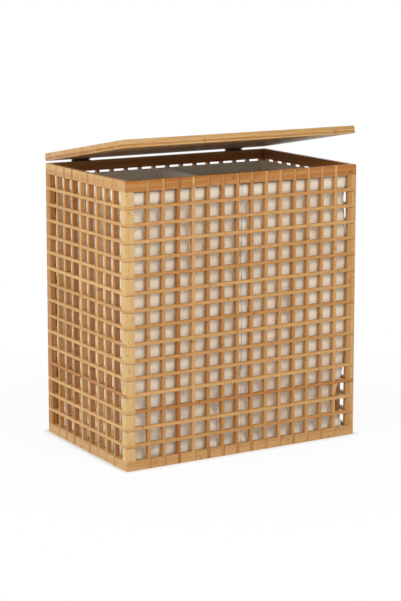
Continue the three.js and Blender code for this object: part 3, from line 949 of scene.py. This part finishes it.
patterns = {"frame": hinge_leaf(0), "lid": hinge_leaf(1), "screw": hinge_screw(), "pin": hinge_pin()}
for side, place in HINGE_PLACES.items():
    to_hinge = Matrix.Translation(AXIS + Vector((place, 0, 0)))
    halves = {"frame": ("hamper", to_hinge),
              "lid": ("lid", LID_TURN @ to_hinge @ Matrix.Rotation(math.pi, 4, "Y"))}
    for half, (body, matrix) in halves.items():
        leaf = stamp(copy_of(patterns[half], f"{side}_{half}_leaf", matrix), new_stave())
        finish(leaf, bronze_finish, body, "hinge_steel", f"{side}_hinge_{half}_leaf")
        for number, spot in enumerate(SCREW_PLACES, 1):
            turn = Matrix.Rotation(chance.uniform(0, math.pi), 4, "Z")
            screw = copy_of(patterns["screw"], f"{side}_{half}_screw_{number}",
                            matrix @ Matrix.Translation((spot, SCREW_LINE, 0)) @ turn)
            finish(stamp(screw, new_stave()), screw_finish, body, "screw_steel",
                   f"{side}_hinge_{half}_screw_{number}")
    pin = stamp(copy_of(patterns["pin"], f"{side}_pin", to_hinge), new_stave())
    finish(pin, screw_finish, "hamper", "screw_steel", f"{side}_hinge_pin")
for pattern in patterns.values():
    discard(pattern)


# The base board, its cleats and the patches of hook tape keep their solids
for name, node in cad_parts.items():
    if name == "base_board":
        node.data.materials[0] = board_finish
    elif name.endswith("_cleat"):
        node.data.materials[0] = frame_finish["x" if name.startswith(("front", "back")) else "y"]
    elif "_tape_" in name:
        node.data.materials[0] = tape_finish


# Bags
def hang_at(levels, share):
    """How far the cloth hangs in at a share of the height, eased between the levels."""
    for (low, from_inset), (high, to_inset) in zip(levels, levels[1:]):
        if share <= high:
            part = (share - low) / (high - low)
            return from_inset + (to_inset - from_inset) * part * part * (3 - 2 * part)
    return 0


def cut_bag(name, low, high, toward, side_hang):
    """An open box of cloth with rounded corners, drawn in at its outer side."""
    middle, size = (low + high) / 2, high - low
    inner_x = (low if toward > 0 else high).x
    bag = block(name, low, high)
    ease(bag, OUTER_CORNER, 3, lambda c, d: abs(d.z) > STRAIGHT and toward * (c.x - middle.x) > 0)
    ease(bag, MIDDLE_CORNER, 2, lambda c, d: abs(d.z) > STRAIGHT and near(c.x, inner_x))
    ease(bag, FOOT_CORNER, 2, lambda c, d: near(c.z, low.z) and abs(d.z) < LEVEL)
    if pick(bag, "faces", lambda c, n: n.z > FACING):
        bpy.ops.mesh.delete(type="FACE")
    done()

    below_hem = high.z - HEM - low.z
    rows = round(below_hem / CLOTH_STEP)
    slice_at(bag, 2, [low.z + below_hem * k / rows for k in range(1, rows + 1)] + [high.z - HEM / 2])
    for axis in (0, 1):
        count = round(size[axis] / CLOTH_STEP)
        slice_at(bag, axis, [low[axis] + size[axis] * k / count for k in range(1, count)])
    take(bag)
    edit()
    bpy.ops.mesh.select_all(action="SELECT")
    bpy.ops.uv.cube_project(cube_size=1, correct_aspect=False, clip_to_bounds=False, scale_to_bounds=False)
    done()

    for height in sorted({round(v.co.z, 6) for v in bag.data.vertices}):
        inset = hang_at(side_hang, (height - low.z) / size.z)
        if inset > 0 and pick(bag, "corners", lambda c: near(c.z, height, LEVEL_SLACK)):
            taper((1 - inset / size.x, 1, 1), (inner_x, middle.y, height))
        done()
    return bag


def mark_seams(bag, low, high):
    """Gives each point its distance from the nearest sewn edge and its drop below the rim."""
    distances, drops = [], []
    for corner in bag.data.vertices:
        x, y, z = corner.co
        # A point lies in one side, and the next side is as far from it as the edge between the two
        distances.append(sorted((min(x - low.x, high.x - x), min(y - low.y, high.y - y), z - low.z))[1])
        drops.append(high.z - z)
    for label, values in (("seam", distances), ("drop", drops)):
        bag.data.attributes.new(label, "FLOAT", "POINT").data.foreach_set("value", values)
    return drops


def bag_room(toward):
    """The walls, the base board and the other bag, as plates that the cloth can't pass."""
    room_low = Vector((-WIDTH / 2 + WALL, MIDDLE_Y - DEPTH / 2 + WALL, board_high.z))
    room_high = Vector((WIDTH / 2 - WALL, MIDDLE_Y + DEPTH / 2 - WALL, HEIGHT))
    (room_low if toward > 0 else room_high).x = 0
    margin = Vector((PLATE, PLATE, PLATE))
    plates = []
    for axis, upper in ((0, False), (0, True), (1, False), (1, True), (2, False)):
        plate_low, plate_high = room_low - margin, room_high + margin
        if upper:
            plate_low[axis] = room_high[axis]
        else:
            plate_high[axis] = room_low[axis]
        plate = block("bag_wall", plate_low, plate_high)
        bpy.ops.object.modifier_add(type="COLLISION")
        plate.collision.thickness_outer = PLATE_SKIN
        plate.collision.cloth_friction = PLATE_GRIP
        plates.append(plate)
    return plates


def let_sag(bag, low, high, toward, cap, seed):
    """Lets the cloth sag from its hem. No point moves further than the cap, and near a seam none rises."""
    hem_foot = high.z - HEM
    inner_x = (low if toward > 0 else high).x
    hem = bag.vertex_groups.new(name="hem")
    held = [v.index for v in bag.data.vertices if v.co.z > hem_foot - HEM_SLACK
            or near(v.co.x, inner_x, TACK_WIDTH) and min(v.co.y - low.y, high.y - v.co.y) < TACK_REACH]
    hem.add(held, 1, "REPLACE")
    pick(bag, "corners", lambda c: c.z < hem_foot - HEM_SLACK)
    bpy.ops.transform.vertex_random(offset=RUMPLE, seed=seed)
    done()
    start = [v.co.copy() for v in bag.data.vertices]
    plates = bag_room(toward)

    take(bag)
    bpy.ops.object.modifier_add(type="CLOTH")
    cloth = bag.modifiers[-1]
    for key, value in CLOTH_SETTINGS.items():
        setattr(cloth.settings, key, value)
    cloth.settings.effector_weights.gravity = CLOTH_WEIGHT
    cloth.collision_settings.distance_min = CLOTH_SKIN
    cloth.collision_settings.collision_quality = 3
    cloth.point_cache.frame_start, cloth.point_cache.frame_end = 1, CLOTH_FRAMES
    for step in range(1, CLOTH_FRAMES + 1):
        bpy.context.scene.frame_set(step)
    bpy.ops.object.modifier_apply(modifier=cloth.name)
    bpy.context.scene.frame_set(1)

    for vertex, place, seam in zip(bag.data.vertices, start, bag.data.attributes["seam"].data):
        moved = vertex.co - place
        if seam.value < SEAM_REACH:
            moved.z = min(moved.z, 0)
        vertex.co = place + moved * min(1, cap / max(moved.length, TINY))
    for plate in plates:
        discard(plate)


def draw_in(bag, low, high, drops):
    """Draws the front and back in by the hang and the folds at the height that each point was cut at."""
    middle, half = (low.y + high.y) / 2, (high.y - low.y) / 2
    for vertex, drop in zip(bag.data.vertices, drops):
        share = 1 - drop / (high.z - low.z)
        fold = noise.noise(Vector((FOLDS_ALONG * vertex.co.x + FOLDS_LEAN * share,
                                   FOLDS_ACROSS * vertex.co.y, FOLDS_UP * share)))
        hang = hang_at(FRONT_HANG, share) + hang_at(FRONT_FOLDS, share) * max(0, fold)
        vertex.co.y -= hang * (vertex.co.y - middle) / half


def sew(bag, hem_foot):
    """Gives a bag its thickness and the folded hem that stands a little proud of it."""
    modify(bag, "SUBSURF", levels=1, render_levels=1)
    modify(bag, "SOLIDIFY", thickness=CLOTH, offset=-1)
    if pick(bag, "faces", lambda c, n: c.z > hem_foot + HEM_SLACK and abs(n.z) < LEVEL):
        swell(HEM_PROUD)
    done()
    shade_smooth(bag, ROUNDED)


for side, toward in (("left", -1), ("right", 1)):
    low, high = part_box(side + "_bag")
    (low if toward > 0 else high).x = toward * MIDDLE_CLEARANCE
    bag = cut_bag(side + "_cloth_bag", low, high, toward, SIDE_HANG[side])
    drops = mark_seams(bag, low, high)
    let_sag(bag, low, high, toward, CLOTH_CAP[side], CLOTH_SEED[side])
    draw_in(bag, low, high, drops)
    sew(bag, high.z - HEM)
    finish(bag, canvas_finish, "hamper", "canvas", side + "_bag")


# Floor, light and camera
FLOOR_SIZE = 12
FLOOR_GREY = (0.86, 0.86, 0.86, 1)
# How far from the foot, and how strongly, the floor's glow gives way to a painted contact shade.
CONTACT_SHADE_WIDTH, CONTACT_SHADE_DEPTH = 0.016, 0.9
SKY_LIGHT = 0.62
LAMP_AIM = Vector((0, 0, 0.3))
LAMPS = {"right_box": ((0.2, -2.5, 2.2), 1.3, 36.0), "left_box": ((-2.9, -0.8, 1.5), 1.8, 50.5)}
CAMERA_PLACE = (-1.9134, -3.2149, 1.0452)
CAMERA_PITCH, CAMERA_YAW = math.radians(8.43), math.radians(30.78)
SENSOR, LENS, LENS_SHIFT, FAR_END = 36, 105.4, -0.15, 60


def seen_straight(tree):
    """1 for what the camera sees, straight or by way of a mirror or glass, and 0 for all other light."""
    seen = tree.nodes.new("ShaderNodeLightPath").outputs
    return maths(tree, "MAXIMUM", seen["Is Camera Ray"],
                 maths(tree, "MAXIMUM", seen["Is Glossy Ray"], seen["Is Transmission Ray"]))


deselect()
bpy.ops.mesh.primitive_plane_add(size=FLOOR_SIZE, location=(0, 0, 0))
floor = named(bpy.context.object, "floor")
floor_material, tree = new_material("pale_floor")
spot = place_in(tree)
from_middle = vectors(tree, "ABSOLUTE", vectors(tree, "SUBTRACT", spot, (0, MIDDLE_Y, 0)))
beside = vectors(tree, "SUBTRACT", from_middle, (WIDTH / 2, DEPTH / 2, 0))
from_foot = length_of(tree, vectors(tree, "MAXIMUM", beside, (0, 0, 0)))
# Camera rays see the floor mostly as an even glow. Within the contact width of the foot the glow falls away,
# so the floor there shows only its lit grey: a painted darker band round the footprint, deepened by the real
# contact shadow.
bright = minus(tree, spread(tree, length_of(tree, spot), 0.35, 1.0, 0.90, 1.0, smooth=True),
               fading(tree, from_foot, CONTACT_SHADE_WIDTH, CONTACT_SHADE_DEPTH))
matt = put(tree, "BsdfDiffuse", {"Color": FLOOR_GREY})
glow = put(tree, "Emission", {"Color": (1, 1, 1, 1), "Strength": 1.0})
to_output(tree, put(tree, "MixShader", {0: times(tree, seen_straight(tree), bright), 1: matt.outputs[0],
                                        2: glow.outputs[0]}))
floor.data.materials.append(floor_material)

world = bpy.data.worlds.new("studio")
bpy.context.scene.world = world
world.use_nodes = True
tree = world.node_tree
tree.nodes.clear()
strength = spread(tree, seen_straight(tree), 0, 1, SKY_LIGHT, 1.0)
to_output(tree, put(tree, "Background", {"Color": (1, 1, 1, 1), "Strength": strength}), "World")

for name, (place, size, power) in LAMPS.items():
    deselect()
    bpy.ops.object.light_add(type="AREA", location=place)
    light = bpy.context.object
    light.name = name
    light.data.shape = "DISK"
    light.data.size = size
    light.data.energy = power
    light.rotation_mode = "QUATERNION"
    light.rotation_quaternion = (LAMP_AIM - Vector(place)).to_track_quat("-Z", "Y")

deselect()
bpy.ops.object.camera_add(location=CAMERA_PLACE, rotation=(math.pi / 2 - CAMERA_PITCH, 0, -CAMERA_YAW))
camera = bpy.context.object
camera.data.sensor_width = SENSOR
camera.data.lens = LENS
camera.data.shift_y = LENS_SHIFT
camera.data.clip_end = FAR_END
bpy.context.scene.camera = camera
bpy.context.scene.view_settings.view_transform = "Standard"
